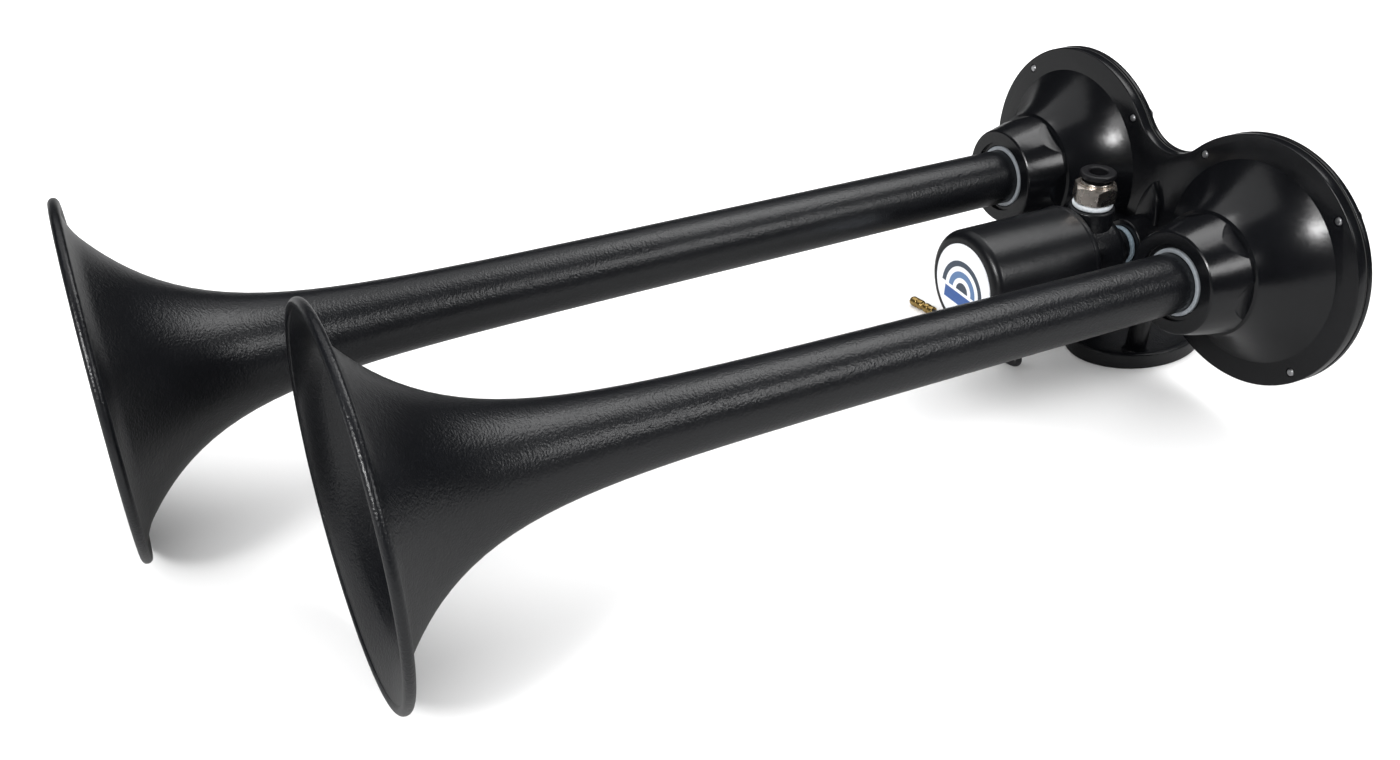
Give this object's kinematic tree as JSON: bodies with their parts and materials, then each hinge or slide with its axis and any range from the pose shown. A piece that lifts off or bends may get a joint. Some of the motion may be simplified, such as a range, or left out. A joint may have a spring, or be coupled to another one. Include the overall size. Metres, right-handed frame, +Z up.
{
  "type": "dual-trumpet air horn",
  "caption": "Black dual-trumpet air horn with two flared bells on one diaphragm housing, a round solenoid valve with a push-in hose fitting, a mounting foot and wire leads.",
  "frame": {"origin": "on the ground under the housing: halfway between the trumpets, in the plane of the housing's front flange face, at the underside of the mounting foot", "axes": "+Z up, -Y along the trumpets towards the bells, +X towards the shorter trumpet"},
  "size_m": [0.271, 0.5259, 0.151],
  "materials": {
    "gloss_black": "gloss black coated casting",
    "satin_black": "satin black powder coat",
    "black_plastic": "moulded black plastic",
    "rubber": "matt black rubber",
    "grey_seal": "light grey silicone",
    "thread_tape": "white thread sealant",
    "nickel": "nickel plate",
    "steel": "zinc-plated steel",
    "spring_steel": "bright spring steel",
    "copper": "enamelled copper wire",
    "brass": "polished brass",
    "label_white": "white printed label",
    "lead_black": "black wire insulation"
  },
  "bodies": {
    "horn": {"back_cover": "gloss_black", "coil_base_plate": "steel", "coil_bobbin": "black_plastic", "coil_can": "satin_black", "coil_label": "label_white", "coil_winding": "copper", "core_tube": "steel", "cover_gasket": "rubber", "cover_screw_1": "steel", "cover_screw_2": "steel", "cover_screw_3": "steel", "cover_screw_4": "steel", "cover_screw_5": "steel", "cover_screw_6": "steel", "cover_screw_7": "steel", "cover_screw_8": "steel", "far_clamp_ring": "rubber", "far_foot_screw": "steel", "far_seal_ring": "grey_seal", "far_trumpet": "satin_black", "fitting_body": "nickel", "fitting_o_ring": "rubber", "fitting_sealant": "thread_tape", "fixed_core": "steel", "front_housing": "gloss_black", "grab_ring": "spring_steel", "lead_1": "lead_black", "lead_2": "lead_black", "lead_grommet": "rubber", "mounting_foot": "satin_black", "near_clamp_ring": "rubber", "near_foot_screw": "steel", "near_seal_ring": "grey_seal", "near_trumpet": "satin_black", "nipple_sealant": "thread_tape", "plunger_spring": "spring_steel", "terminal_1": "brass", "terminal_2": "brass", "valve_body": "satin_black", "valve_nipple": "satin_black", "valve_o_ring": "rubber"},
    "plunger_group": {"plunger": "steel", "plunger_seal": "rubber"},
    "collar_group": {"release_collar": "black_plastic"},
    "near_diaphragm_group": {"near_diaphragm": "spring_steel"},
    "far_diaphragm_group": {"far_diaphragm": "spring_steel"}
  },
  "joints": [
    {"name": "plunger_slide", "type": "slide", "parent": "horn", "child": "plunger_group", "axis": [0, -1, 0], "range_m": [0, 0.002], "stiffness_N_per_m": 400, "springref_m": -0.004, "deforming": ["plunger_spring"]},
    {"name": "release_collar_press", "type": "slide", "parent": "horn", "child": "collar_group", "axis": [0, 0, -1], "range_m": [0, 0.0012], "stiffness_N_per_m": 900, "springref_m": -0.0005},
    {"name": "near_diaphragm_flex", "type": "slide", "parent": "horn", "child": "near_diaphragm_group", "axis": [0, 1, 0], "range_m": [0, 0.00025], "stiffness_N_per_m": 2000, "springref_m": -0.0005},
    {"name": "far_diaphragm_flex", "type": "slide", "parent": "horn", "child": "far_diaphragm_group", "axis": [0, 1, 0], "range_m": [0, 0.00025], "stiffness_N_per_m": 2000, "springref_m": -0.0005}
  ]
}
